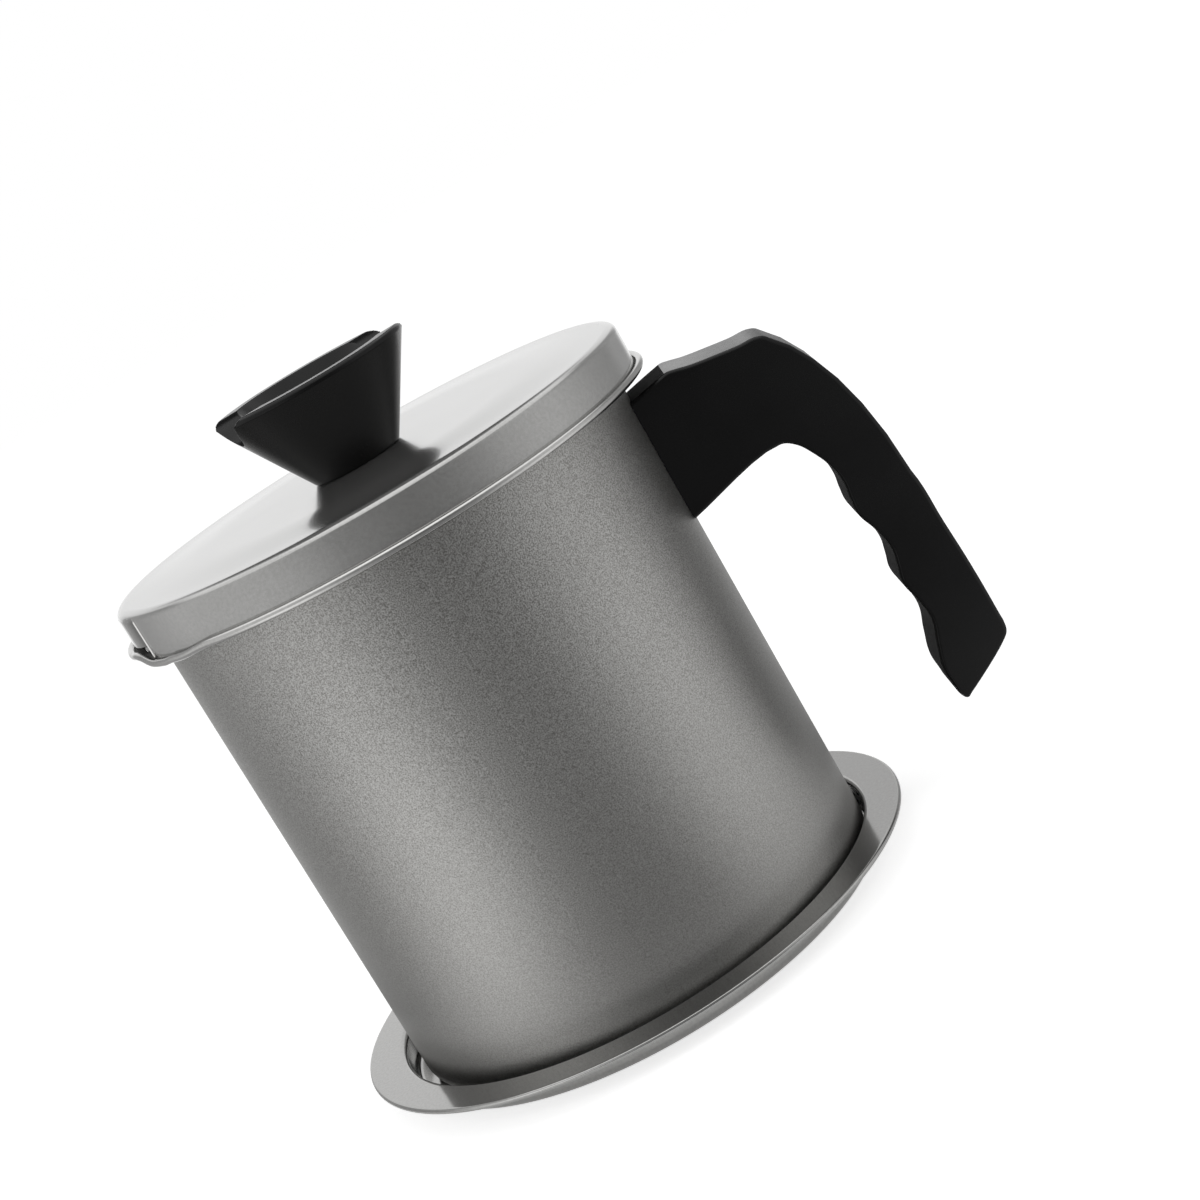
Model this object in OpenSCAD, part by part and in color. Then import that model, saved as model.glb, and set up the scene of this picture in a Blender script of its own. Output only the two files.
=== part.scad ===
// Bacon grease container: a sheet-steel pot with a pouring rim and a side handle, a strainer
// that hangs in its mouth, a lid with a flared knob, and a tray that it stands in.
// Z points up, the table is at z = 0, the pot's axis is the Z axis, the handle is on +X and
// the spout on -X.

/* [Tray] */
// Width of the rim, out from the well
tray_rim = 8.4; // [7:0.1:13]
// Height of the rim's top above the table
tray_h = 7.3; // [6:0.1:9]
// Thickness of the sheet
tray_t = 0.7; // [0.5:0.05:1]
// Gap between the well and the pot, on the radius
well_gap = 2.8; // [2:0.1:3]
// Outer rounding at the foot of the well
well_corner = 2; // [1.5:0.1:2.4]
// Outer rounding where the well turns out into the rim
well_lip = 1.5; // [1.2:0.1:2]
// How far the pot stands off the tray's middle, towards the handle
tray_shift = 0.95; // [0:0.05:1.2]

/* [Pot] */
// Outer diameter of the wall
pot_d = 111.6; // [108:0.2:116]
// Height from its base to the underside of the flange
pot_h = 114.2; // [110:0.2:122]
// Thickness of the wall, the base and the flange
pot_t = 0.8; // [0.6:0.05:1]
// Outer rounding at the foot
pot_corner = 4; // [2:0.1:4.2]
// Inner rounding where the wall turns out into the flange
neck_round = 1.5; // [1.2:0.1:1.8]
// Reach of the flange, from the wall to the middle of the bead
flange_reach = 5.8; // [5.4:0.1:6.6]
// Thickness of the rolled bead
bead_d = 1.6; // [1.3:0.05:1.9]
// How far the bead hangs below the flange
bead_drop = 0.2; // [0.1:0.05:0.3]

/* [Spout] */
// How far the bead runs out at the spout, beyond its circle
spout_reach = 1; // [0.6:0.1:2.8]
// Half the angle that the spout takes up
spout_half = 15; // [12:0.5:16]
// Slope of the spout's floor, in degrees
spout_rise = 10; // [0:0.5:12]

/* [Strainer] */
// Thickness of the frame's sheet
frame_t = 0.5; // [0.4:0.05:0.6]
// Depth of the frame below its rim
frame_h = 20; // [15:0.5:26]
// Width of the frame's rim, from the outside of its wall
frame_rim = 4.3; // [3.6:0.1:4.8]
// Gap between the frame and the pot's wall
frame_gap = 0.7; // [0.5:0.05:0.9]
// Width of the ledge that the mesh lies on
ledge_w = 4; // [3:0.1:5]
// Thickness of the mesh
mesh_t = 0.4; // [0.3:0.05:0.6]
// Width of one gap of the mesh
mesh_hole = 4.2; // [3:0.1:4.6]
// Spacing of the mesh's gaps
mesh_pitch = 6; // [5.6:0.1:8]
// Width of the hoop that holds the mesh down
hoop_w = 2.2; // [1.5:0.1:2.8]
// Height of the hoop
hoop_h = 1.6; // [1:0.1:2.5]

/* [Lid] */
// Height of the lid's edge above the pot's flange
lid_h = 9.5; // [8:0.1:12]
// Thickness of the sheet
lid_t = 0.7; // [0.5:0.05:0.9]
// Outer rounding of the edge
lid_corner = 1.6; // [1.2:0.1:2.2]
// Rise from the edge to the middle
lid_crown = 0.7; // [0.4:0.1:1.2]
// Diameter of the flat middle
lid_flat_d = 72; // [60:1:90]
// Gap between the skirt and the pot's bead
lid_gap = 0.25; // [0.2:0.05:0.4]
// Half the angle of the pouring window in the skirt
window_half = 24.5; // [20:0.5:28]
// Height of the window above the skirt's lower edge
window_h = 2.4; // [1.5:0.1:3.5]
// Angle of the crease that runs up from each side of the window
crease_angle = 4.5; // [3:0.5:6]
// Depth of the crease
crease_depth = 0.4; // [0.2:0.05:0.45]

/* [Knob] */
// Height of the knob
knob_h = 21.6; // [18:0.2:26]
// Diameter of its foot
knob_foot_d = 20.2; // [17:0.2:22]
// Diameter of its lip
knob_lip_d = 46.4; // [40:0.2:50]
// Thickness of the lip, measured level
knob_wall = 5.6; // [4:0.1:6.5]
// Depth of the cup
cup_depth = 11; // [9.5:0.1:11.5]
// Width of the slot across the cup
slot_w = 17.6; // [12:0.2:20]
// Depth of the slot
slot_depth = 7.6; // [6:0.1:9]
// Rounding in the foot of the slot
slot_round = 3.5; // [2:0.1:4.5]
// Rounding of the lip
lip_round = 0.9; // [0.5:0.1:1.4]
// Angle of the slot from the handle, in degrees
knob_turn = 20; // [-90:1:90]

/* [Knob fixing] */
// Diameter of the knob screw's thread
knob_screw_d = 4.9; // [4:0.1:5.4]
// Diameter of the knob screw's head
knob_head_d = 9.4; // [8:0.1:11]
// Height of the knob screw's head
knob_head_h = 2.8; // [2:0.1:3.2]
// Diameter of the brass insert
insert_d = 8; // [7.4:0.1:9]
// Length of the brass insert
insert_l = 8; // [6:0.5:9]
// Diameter of the metal washer
washer_d = 13; // [11:0.2:16]
// Thickness of the metal washer
washer_t = 0.8; // [0.6:0.1:1.2]
// Diameter of the silicone seal
seal_d = 16; // [14:0.2:20]
// Thickness of the silicone seal
seal_t = 1; // [0.6:0.1:1.4]

/* [Handle] */
// Reach of the handle from the pot's wall to its outer side
handle_reach = 46.6; // [42:0.2:52]
// Height of the lowest point of the grip above the table
handle_low = 16.6; // [12:0.2:24]
// Height of the highest point of the arm below the flange
handle_drop = 3.7; // [3:0.1:6]
// Thickness of the handle
handle_t = 16.8; // [15.6:0.2:20]
// Gap between the handle's root and the pot's wall
root_gap = 0.15; // [0.1:0.05:0.3]

/* [Handle fixing] */
// Thickness of the bracket's steel
bracket_t = 1.5; // [1:0.1:1.8]
// Width of the bracket
bracket_w = 12; // [11:0.2:12.4]
// Height of the bracket's foot on the wall
bracket_foot_h = 20; // [16:0.5:22]
// Reach of the bracket's channel from the wall
bracket_reach = 23; // [20:0.5:25]
// Height of the channel's sides
channel_h = 8; // [6:0.2:9]
// Height of the channel's floor above the bracket's lower edge
channel_lift = 6; // [5:0.5:8]
// Depth of the middle of the bracket below the handle's highest point
bracket_drop = 15.2; // [14:0.2:17]
// Distance of the screw from the pot's wall
screw_reach = 14; // [12:0.2:15]
// Diameter of the handle screw's thread
screw_d = 3.9; // [3:0.1:4.2]
// Diameter of the handle screw's head
head_d = 7.4; // [6:0.1:7.8]
// Height of the handle screw's head
head_h = 2.6; // [2:0.1:3]
// Thickness of the spring washer under that head
lock_t = 1; // [0.6:0.1:1.2]
// Thickness of the handle between that washer and the bracket
floor_t = 3.6; // [3:0.1:4.2]
// Width of the nut across its flats
nut_af = 7; // [6.4:0.1:7.6]
// Height of the nut
nut_h = 3.2; // [2.4:0.1:4]

/* [Hidden] */
$fn = 96;

// Clearances and overruns
weld_gap = 0.05;
thread_gap = 0.05;
slip_gap = 0.3;
over = 2;
bond = 0.1;
crease_wrap = 1;
corner_steps = 6;
curve_steps = 5;
side_steps = 3;
elbow_steps = 9;

// Heights
pot_z = tray_t;
flange_z = pot_z + pot_h;
seat_z = flange_z + pot_t;
bead_z = flange_z + bead_d / 2 - bead_drop;
lid_edge_z = seat_z + lid_h;
lid_top_z = lid_edge_z + lid_crown;
skirt_top_z = lid_edge_z - lid_corner;
ledge_z = seat_z - frame_h;
mesh_z = ledge_z + frame_t;
hoop_z = mesh_z + mesh_t;
seal_z = lid_top_z - lid_t - seal_t;
washer_z = seal_z - washer_t;

// Radii
pot_r = pot_d / 2;
pot_in_r = pot_r - pot_t;
well_r = pot_r + well_gap;
bead_r = pot_r + flange_reach;
lid_r = bead_r - bead_d / 2 - lid_gap;
frame_r = pot_in_r - frame_gap;
frame_in_r = frame_r - frame_t;
ledge_r = frame_in_r - ledge_w;
hoop_r = frame_in_r - thread_gap;
mesh_r = hoop_r - thread_gap;
thread_hole_r = knob_screw_d / 2 + slip_gap / 2;

// The spout's arc: the chord that it stands on, and the circle through the chord's ends and
// the spout's tip
chord_x = bead_r * cos(spout_half);
chord_y = bead_r * sin(spout_half);
spout_tip = bead_r + spout_reach;
spout_sagitta = spout_tip - chord_x;
spout_r = (spout_sagitta * spout_sagitta + chord_y * chord_y) / (2 * spout_sagitta);
spout_sweep = 2 * asin(chord_y / spout_r);

// The handle's frame: shares run from the pot's wall to the outer side, and from the lowest
// point of the grip to the highest of the arm
handle_top = flange_z - handle_drop;
handle_h = handle_top - handle_low;
bracket_z = handle_top - bracket_drop;
channel_z = bracket_z - bracket_foot_h / 2 + channel_lift;
screw_x = pot_r + screw_reach;
screw_seat_z = channel_z - slip_gap - floor_t;

top_shares = [[-0.03, 0.976], [0.204, 1], [0.3, 0.988], [0.42, 0.979], [0.53, 0.972], [0.637, 0.967]];
elbow_shares = [[0.655, 0.964], [0.672, 0.955]];
outer_shares = [[0.672, 0.955], [0.82, 0.887], [0.932, 0.744], [0.953, 0.533]];
back_shares = [[0.974, 0.39], [0.99, 0.27], [0.998, 0.14], [0.999, 0.115], [0.99, 0.095], [0.965, 0.082]];
tip_shares = [[0.7, 0.004], [0.682, 0], [0.668, 0.01]];
groove_shares = [
    [0.653, 0.05], [0.648, 0.089], [0.676, 0.147], [0.71, 0.207], [0.697, 0.263], [0.674, 0.315],
    [0.691, 0.356], [0.704, 0.395], [0.682, 0.453], [0.646, 0.504], [0.648, 0.543], [0.657, 0.58],
    [0.644, 0.626], [0.601, 0.676], [0.545, 0.715], [0.489, 0.73]
];
root_low_share = [-0.03, 0.676];

// Points on an arc round centre c, radius r, from angle a0 to a1
function arc(c, r, a0, a1, n = corner_steps) =
    [for (i = [0:n]) let (a = a0 + (a1 - a0) * i / n) c + r * [cos(a), sin(a)]];

// Point at t on the cubic curve with the four control points p
function cubic(p, t) =
    pow(1 - t, 3) * p[0] + 3 * t * pow(1 - t, 2) * p[1] + 3 * t * t * (1 - t) * p[2] + pow(t, 3) * p[3];

// Points on a smooth curve that passes through every point of p
function smooth(p, n) = [
    for (i = [0:len(p) - 2])
        let (
            a = p[i],
            b = p[i + 1],
            before = i == 0 ? a : p[i - 1],
            after = i == len(p) - 2 ? b : p[i + 2],
            handles = [a, a + (b - before) / 6, b - (after - a) / 6, b]
        )
        for (j = [0:n - 1]) cubic(handles, j / n),
    p[len(p) - 1]
];

// Places given in shares of the handle's reach and height
function on_handle(shares) =
    [for (s = shares) [pot_r + s[0] * handle_reach, handle_low + s[1] * handle_h]];

// Tray: a flat floor, a steep well and a wide level rim
module tray_profile() {
    out_r = well_r + tray_rim;
    rim_low = tray_h - tray_t;
    foot_r = well_r - well_corner;
    lip_in = well_lip - tray_t;
    polygon(concat(
        [[0, 0]],
        arc([foot_r, well_corner], well_corner, -90, 0),
        arc([well_r + lip_in, rim_low - lip_in], lip_in, 180, 90),
        [[out_r, rim_low], [out_r, tray_h]],
        arc([well_r + lip_in, rim_low - lip_in], well_lip, 90, 180),
        arc([foot_r, well_corner], well_corner - tray_t, 0, -90),
        [[0, tray_t]]
    ));
}

module drip_tray() {
    color("silver") translate([-tray_shift, 0, 0]) rotate_extrude() tray_profile();
}

// Pot: base, wall, neck and flange in one outline
module pot_profile() {
    neck_x = pot_in_r + neck_round;
    neck_z = seat_z - neck_round;
    foot_x = pot_r - pot_corner;
    foot_z = pot_z + pot_corner;
    polygon(concat(
        [[0, pot_z]],
        arc([foot_x, foot_z], pot_corner, -90, 0),
        arc([neck_x, neck_z], neck_round - pot_t, 180, 90),
        [[bead_r, flange_z], [bead_r, seat_z]],
        arc([neck_x, neck_z], neck_round, 90, 180),
        arc([foot_x, foot_z], pot_corner - pot_t, 0, -90),
        [[0, pot_z + pot_t]]
    ));
}

module bead_arc(r, sweep) {
    rotate([0, 0, 180 - sweep / 2]) rotate_extrude(angle = sweep) translate([r, 0]) circle(d = bead_d);
}

// Spout: its floor and bead lie in a plane that rises from the chord to the tip
module spout() {
    translate([-chord_x, 0, bead_z]) rotate([0, spout_rise, 0]) translate([chord_x, 0, 0]) {
        translate([spout_r - spout_tip, 0, 0]) bead_arc(spout_r, spout_sweep);
        translate([0, 0, flange_z - bead_z]) intersection() {
            translate([spout_r - spout_tip, 0, 0]) cylinder(r = spout_r, h = pot_t);
            translate([-chord_x - spout_sagitta - over, -chord_y, -over])
                cube([spout_sagitta + over + bond, 2 * chord_y, pot_t + 2 * over]);
        }
    }
    for (side = [-1, 1]) translate([-chord_x, side * chord_y, bead_z]) sphere(d = bead_d + bond);
}

module pot_body() {
    color("gray") union() {
        difference() {
            rotate_extrude() pot_profile();
            translate([-bead_r - over, -chord_y, flange_z - over])
                cube([bead_r + over - chord_x, 2 * chord_y, pot_t + 2 * over]);
        }
        translate([0, 0, bead_z]) rotate([0, 0, 180]) bead_arc(bead_r, 360 - 2 * spout_half);
        spout();
    }
}

// Strainer: a drawn frame whose rim lies on the pot's flange, the mesh and its hoop
module strainer_frame() {
    color("lightgray") rotate_extrude() union() {
        translate([frame_in_r, seat_z]) square([frame_t + frame_rim, frame_t]);
        translate([frame_in_r, ledge_z]) square([frame_t, frame_h + frame_t]);
        translate([ledge_r, ledge_z]) square([ledge_w + frame_t, frame_t]);
    }
}

module strainer_mesh() {
    reach = floor(ledge_r / mesh_pitch);
    color("darkgray") difference() {
        translate([0, 0, mesh_z]) cylinder(r = mesh_r, h = mesh_t);
        for (i = [-reach:reach], j = [-reach:reach])
            if (norm([i, j]) * mesh_pitch + mesh_hole < ledge_r)
                translate([i * mesh_pitch - mesh_hole / 2, j * mesh_pitch - mesh_hole / 2, mesh_z - over])
                    cube([mesh_hole, mesh_hole, mesh_t + 2 * over]);
    }
}

module strainer_hoop() {
    color("lightgray") difference() {
        translate([0, 0, hoop_z]) cylinder(r = hoop_r, h = hoop_h);
        translate([0, 0, hoop_z - over]) cylinder(r = hoop_r - hoop_w, h = hoop_h + 2 * over);
    }
}

// Lid: the top with its crown, the rounded edge and the skirt, in one outline
module lid_profile() {
    edge_x = lid_r - lid_corner;
    polygon(concat(
        [[lid_r - lid_t, seat_z], [lid_r, seat_z]],
        arc([edge_x, skirt_top_z], lid_corner, 0, 90),
        [[lid_flat_d / 2, lid_top_z], [0, lid_top_z]],
        [[0, lid_top_z - lid_t], [lid_flat_d / 2, lid_top_z - lid_t]],
        arc([edge_x, skirt_top_z], lid_corner - lid_t, 90, 0)
    ));
}

// A curved bar between two radii and two heights, its middle at an angle from the spout
module skirt_bar(middle, sweep, r_in, r_out, z_low, z_high) {
    rotate([0, 0, 180 + middle - sweep / 2]) rotate_extrude(angle = sweep)
        translate([r_in, z_low]) square([r_out - r_in, z_high - z_low]);
}

// The skirt is cut short over the spout, and a crease runs up it at each side of that window
module lid_shell() {
    skirt_in_r = lid_r - lid_t;
    color("silver") difference() {
        union() {
            difference() {
                rotate_extrude() lid_profile();
                for (side = [-1, 1])
                    skirt_bar(side * window_half, crease_angle, skirt_in_r - over, lid_r + over, seat_z - over, skirt_top_z);
            }
            for (side = [-1, 1])
                skirt_bar(side * window_half, crease_angle + crease_wrap, skirt_in_r - crease_depth,
                    lid_r - crease_depth, seat_z, skirt_top_z + bond);
        }
        skirt_bar(0, 2 * window_half, skirt_in_r - over, lid_r + over, seat_z - over, seat_z + window_h);
        translate([0, 0, lid_edge_z - over]) cylinder(r = thread_hole_r, h = 2 * over);
    }
}

// Knob: a flared cup with a round-footed slot cut across it, and a socket for the insert
module knob_profile() {
    foot_r = knob_foot_d / 2;
    lip_r = knob_lip_d / 2;
    slope = (lip_r - foot_r) / knob_h;
    lip_in = lip_r - knob_wall;
    polygon(concat(
        [[0, 0], [foot_r, 0]],
        arc([lip_r - lip_round * (1 + slope), knob_h - lip_round], lip_round, -atan(slope), 90),
        arc([lip_in + lip_round, knob_h - lip_round], lip_round, 90, 180 - atan(slope)),
        [[lip_in - slope * cup_depth, knob_h - cup_depth], [0, knob_h - cup_depth]]
    ));
}

module knob_slot() {
    foot = knob_h - slot_depth;
    rotate([90, 0, 90]) translate([0, 0, -knob_lip_d]) linear_extrude(height = 2 * knob_lip_d) union() {
        translate([-slot_w / 2, foot + slot_round]) square([slot_w, slot_depth + over]);
        translate([slot_round - slot_w / 2, foot]) square([slot_w - 2 * slot_round, slot_depth]);
        for (side = [-1, 1]) translate([side * (slot_w / 2 - slot_round), foot + slot_round]) circle(r = slot_round);
    }
}

module lid_knob() {
    color("#202020") translate([0, 0, lid_top_z]) rotate([0, 0, knob_turn]) difference() {
        rotate_extrude() knob_profile();
        knob_slot();
        translate([0, 0, -over]) cylinder(d = insert_d + 2 * thread_gap, h = insert_l + slip_gap + over);
    }
}

module knob_insert() {
    color("goldenrod") translate([0, 0, lid_top_z]) difference() {
        cylinder(d = insert_d, h = insert_l);
        translate([0, 0, -over]) cylinder(r = knob_screw_d / 2 + thread_gap, h = insert_l + 2 * over);
    }
}

module knob_screw() {
    shank_l = seal_t + washer_t + lid_t + insert_l - slip_gap;
    color("lightgray") union() {
        translate([0, 0, washer_z - knob_head_h]) cylinder(d = knob_head_d, h = knob_head_h);
        translate([0, 0, washer_z - bond]) cylinder(d = knob_screw_d, h = shank_l + bond);
    }
}

module knob_washer() {
    color("lightgray") difference() {
        translate([0, 0, washer_z]) cylinder(d = washer_d, h = washer_t);
        translate([0, 0, washer_z - over]) cylinder(r = thread_hole_r, h = washer_t + 2 * over);
    }
}

module knob_seal() {
    color("dimgray") difference() {
        translate([0, 0, seal_z]) cylinder(d = seal_d, h = seal_t);
        translate([0, 0, seal_z - over]) cylinder(r = thread_hole_r, h = seal_t + 2 * over);
    }
}

// Bracket: a foot curved to the wall, and a channel that runs out from it
module handle_bracket() {
    foot_r = pot_r + weld_gap;
    foot_low = bracket_z - bracket_foot_h / 2;
    channel_end = pot_r + bracket_reach;
    color("lightgray") difference() {
        union() {
            intersection() {
                translate([0, 0, foot_low]) cylinder(r = foot_r + bracket_t, h = bracket_foot_h);
                translate([0, -bracket_w / 2, foot_low]) cube([foot_r + bracket_t, bracket_w, bracket_foot_h]);
            }
            translate([pot_in_r, -bracket_w / 2, channel_z])
                cube([channel_end - pot_in_r, bracket_w, channel_h]);
        }
        translate([0, 0, foot_low - over]) cylinder(r = foot_r, h = bracket_foot_h + 2 * over);
        translate([foot_r + bracket_t, bracket_t - bracket_w / 2, channel_z + bracket_t])
            cube([bracket_reach, bracket_w - 2 * bracket_t, channel_h]);
        translate([screw_x, 0, channel_z - over]) cylinder(d = screw_d + 2 * slip_gap, h = bracket_t + 2 * over);
    }
}

module handle_nut() {
    color("lightgray") translate([screw_x, 0, channel_z + bracket_t]) difference() {
        cylinder(d = nut_af / cos(30), h = nut_h, $fn = 6);
        translate([0, 0, -over]) cylinder(d = screw_d + 2 * thread_gap, h = nut_h + 2 * over);
    }
}

// Grip: the arm off the pot and the hanging grip with its finger grooves, hollow at the root
module grip_profile() {
    polygon(concat(
        smooth(on_handle(top_shares), side_steps),
        on_handle(elbow_shares),
        [for (i = [1:elbow_steps]) cubic(on_handle(outer_shares), i / elbow_steps)],
        smooth(on_handle(back_shares), side_steps),
        on_handle(tip_shares),
        smooth(on_handle(groove_shares), curve_steps),
        on_handle([root_low_share])
    ));
}

module handle_grip() {
    foot_low = bracket_z - bracket_foot_h / 2 - slip_gap;
    pocket_w = bracket_w + 2 * slip_gap;
    color("#202020") difference() {
        rotate([90, 0, 0]) translate([0, 0, -handle_t / 2]) linear_extrude(height = handle_t) grip_profile();
        translate([0, 0, handle_low - over]) cylinder(r = pot_r + root_gap, h = handle_h + 2 * over);
        translate([pot_in_r, -pocket_w / 2, foot_low])
            cube([pot_t + bracket_t + slip_gap, pocket_w, bracket_foot_h + 2 * slip_gap]);
        translate([pot_in_r, -pocket_w / 2, channel_z - slip_gap])
            cube([pot_t + bracket_reach + slip_gap, pocket_w, channel_h + 2 * slip_gap]);
        translate([screw_x, 0, handle_low]) cylinder(d = head_d + 4 * slip_gap, h = screw_seat_z - handle_low);
        translate([screw_x, 0, handle_low]) cylinder(d = screw_d + 2 * slip_gap, h = channel_z - handle_low);
    }
}

module handle_screw() {
    head_z = screw_seat_z - lock_t - head_h;
    tip_z = channel_z + bracket_t + nut_h + slip_gap;
    color("lightgray") translate([screw_x, 0, 0]) union() {
        translate([0, 0, head_z]) cylinder(d = head_d, h = head_h);
        translate([0, 0, head_z]) cylinder(d = screw_d, h = tip_z - head_z);
    }
}

module handle_washer() {
    color("lightgray") translate([screw_x, 0, screw_seat_z - lock_t]) difference() {
        cylinder(d = head_d, h = lock_t);
        translate([0, 0, -over]) cylinder(d = screw_d + 2 * slip_gap, h = lock_t + 2 * over);
    }
}

drip_tray();
pot_body();
strainer_frame();
strainer_mesh();
strainer_hoop();
lid_shell();
lid_knob();
knob_insert();
knob_screw();
knob_washer();
knob_seal();
handle_bracket();
handle_nut();
handle_grip();
handle_screw();
handle_washer();
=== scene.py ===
import math

import bpy
from mathutils import Matrix, Vector


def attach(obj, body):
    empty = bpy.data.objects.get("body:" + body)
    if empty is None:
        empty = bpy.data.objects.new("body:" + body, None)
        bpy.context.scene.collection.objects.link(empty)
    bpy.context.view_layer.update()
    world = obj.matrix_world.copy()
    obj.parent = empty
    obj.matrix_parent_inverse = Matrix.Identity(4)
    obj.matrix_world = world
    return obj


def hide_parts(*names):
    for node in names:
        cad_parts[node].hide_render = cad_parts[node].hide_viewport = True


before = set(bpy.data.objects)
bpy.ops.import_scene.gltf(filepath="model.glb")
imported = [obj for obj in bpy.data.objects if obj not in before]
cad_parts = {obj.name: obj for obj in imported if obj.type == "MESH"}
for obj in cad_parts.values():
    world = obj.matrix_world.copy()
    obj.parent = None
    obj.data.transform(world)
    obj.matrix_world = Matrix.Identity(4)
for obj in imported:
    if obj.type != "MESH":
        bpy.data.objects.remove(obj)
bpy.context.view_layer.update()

mm = 0.001
mergeReach = 0.002 * mm
print("CAD frame loaded:", len(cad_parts), "nodes")

# Camera: where the photograph was taken from, turned and tipped in degrees, and how far it leans
cameraSettings = {
    "place": (0.05661, -0.50639, 0.18663),
    "turn": -3.136,
    "down": 12.53,
    "lean": 30.11,
    "lens": 72.22,
    "sensor": 36,
    "clip": (0.01, 50),
}

turn = math.radians(cameraSettings["turn"])
down = math.radians(cameraSettings["down"])
lean = math.radians(cameraSettings["lean"])
ahead = Vector((math.sin(turn) * math.cos(down), math.cos(turn) * math.cos(down), -math.sin(down)))
levelRight = Vector((math.cos(turn), -math.sin(turn), 0))
levelUp = levelRight.cross(ahead)
cameraRight = math.cos(lean) * levelRight - math.sin(lean) * levelUp
cameraUp = math.sin(lean) * levelRight + math.cos(lean) * levelUp
cameraMatrix = Matrix((cameraRight, cameraUp, -ahead)).transposed().to_4x4()
cameraMatrix.translation = Vector(cameraSettings["place"])

bpy.ops.object.select_all(action="DESELECT")
bpy.ops.object.camera_add()
camera = bpy.context.object
camera.name = "photoCamera"
camera.matrix_world = cameraMatrix
camera.data.lens = cameraSettings["lens"]
camera.data.sensor_width = cameraSettings["sensor"]
camera.data.clip_start, camera.data.clip_end = cameraSettings["clip"]
bpy.context.scene.camera = camera
bpy.context.scene.view_settings.view_transform = "Standard"
print("camera placed")


# Small helpers for the pieces
def leaveEdit():
    bpy.ops.object.mode_set(mode="OBJECT")


def editAll():
    bpy.ops.object.mode_set(mode="EDIT")
    bpy.ops.mesh.select_all(action="SELECT")


def pickNothing():
    if bpy.context.object and bpy.context.object.mode != "OBJECT":
        leaveEdit()
    bpy.ops.object.select_all(action="DESELECT")


def pickOnly(piece):
    pickNothing()
    piece.select_set(True)
    bpy.context.view_layer.objects.active = piece


def arcPoints(centre, radius, start, end, count):
    points = []
    for i in range(count + 1):
        angle = math.radians(start + (end - start) * i / count)
        points.append((centre[0] + radius * math.cos(angle), centre[1] + radius * math.sin(angle)))
    return points


# The outline is drawn by extruding one corner, point by point in mm; the piece stays in edit mode
def drawOutline(name, outline, axisX=0.0):
    pickNothing()
    bpy.ops.mesh.primitive_plane_add(size=mm)
    piece = bpy.context.object
    piece.name = name
    piece.data.name = name
    editAll()
    bpy.ops.mesh.merge(type="CENTER")
    bpy.ops.transform.translate(value=((axisX + outline[0][0]) * mm, 0, outline[0][1] * mm))
    for before, after in zip(outline, outline[1:]):
        move = ((after[0] - before[0]) * mm, 0, (after[1] - before[1]) * mm)
        bpy.ops.mesh.extrude_vertices_move(TRANSFORM_OT_translate={"value": move})
    bpy.ops.mesh.select_all(action="SELECT")
    return piece


def turnOnLathe(name, outline, steps, axisX=0.0):
    piece = drawOutline(name, outline, axisX)
    bpy.ops.mesh.spin(steps=steps, angle=math.tau, center=(axisX * mm, 0, 0), axis=(0, 0, 1))
    bpy.ops.mesh.select_all(action="SELECT")
    bpy.ops.mesh.remove_doubles(threshold=mergeReach)
    bpy.ops.mesh.normals_make_consistent(inside=False)
    leaveEdit()
    return piece


# Selects the vertices that pass a test on their place, in mm, and goes into edit mode
def pickVertices(piece, test):
    pickOnly(piece)
    bpy.ops.object.mode_set(mode="EDIT")
    bpy.ops.mesh.select_mode(type="VERT")
    bpy.ops.mesh.select_all(action="DESELECT")
    leaveEdit()
    for vertex in piece.data.vertices:
        x, y, z = vertex.co / mm
        vertex.select = test(x, y, z)
    bpy.ops.object.mode_set(mode="EDIT")


def moveVertices(piece, test, rise):
    pickVertices(piece, test)
    bpy.ops.transform.translate(value=(0, 0, rise * mm))
    leaveEdit()


# The move fades out over a distance; the vertices that stay are hidden meanwhile
def moveSoftly(piece, stays, test, move, fade):
    pickVertices(piece, stays)
    bpy.ops.mesh.hide(unselected=False)
    pickVertices(piece, test)
    bpy.ops.transform.translate(
        value=(move[0] * mm, move[1] * mm, move[2] * mm),
        use_proportional_edit=True,
        proportional_edit_falloff="SMOOTH",
        proportional_size=fade * mm,
    )
    bpy.ops.mesh.reveal(select=False)
    leaveEdit()


def scaleAcross(piece, test, factor):
    pickVertices(piece, test)
    bpy.ops.transform.resize(value=(factor, factor, 1), center_override=(0, 0, 0))
    leaveEdit()


# Angle from the spout's side, in degrees
def spoutAngle(x, y):
    return math.degrees(math.atan2(y, -x))


def smoothShading(piece, angle=40):
    pickOnly(piece)
    bpy.ops.object.shade_smooth_by_angle(angle=math.radians(angle))
    modifier = piece.modifiers.new("evenNormals", "WEIGHTED_NORMAL")
    modifier.keep_sharp = True
    bpy.ops.object.modifier_apply(modifier=modifier.name)


def cutWith(piece, cutter):
    pickOnly(piece)
    modifier = piece.modifiers.new("cut", "BOOLEAN")
    modifier.operation = "DIFFERENCE"
    modifier.solver = "EXACT"
    modifier.object = cutter
    bpy.ops.object.modifier_apply(modifier=modifier.name)
    bpy.data.objects.remove(cutter)


# Cuts with an upright round bar; its depth is centred on a height
def cutBar(piece, vertices, radius, depth, height, x=0.0):
    pickNothing()
    bpy.ops.mesh.primitive_cylinder_add(
        vertices=vertices,
        radius=radius * mm,
        depth=depth * mm,
        location=(x * mm, 0, height * mm),
    )
    cutWith(piece, bpy.context.object)


# Small helpers for the finishes; the owner is a material or the world
def plug(owner, source, socket):
    if isinstance(source, bpy.types.NodeSocket):
        owner.node_tree.links.new(source, socket)
    else:
        socket.default_value = source


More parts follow.
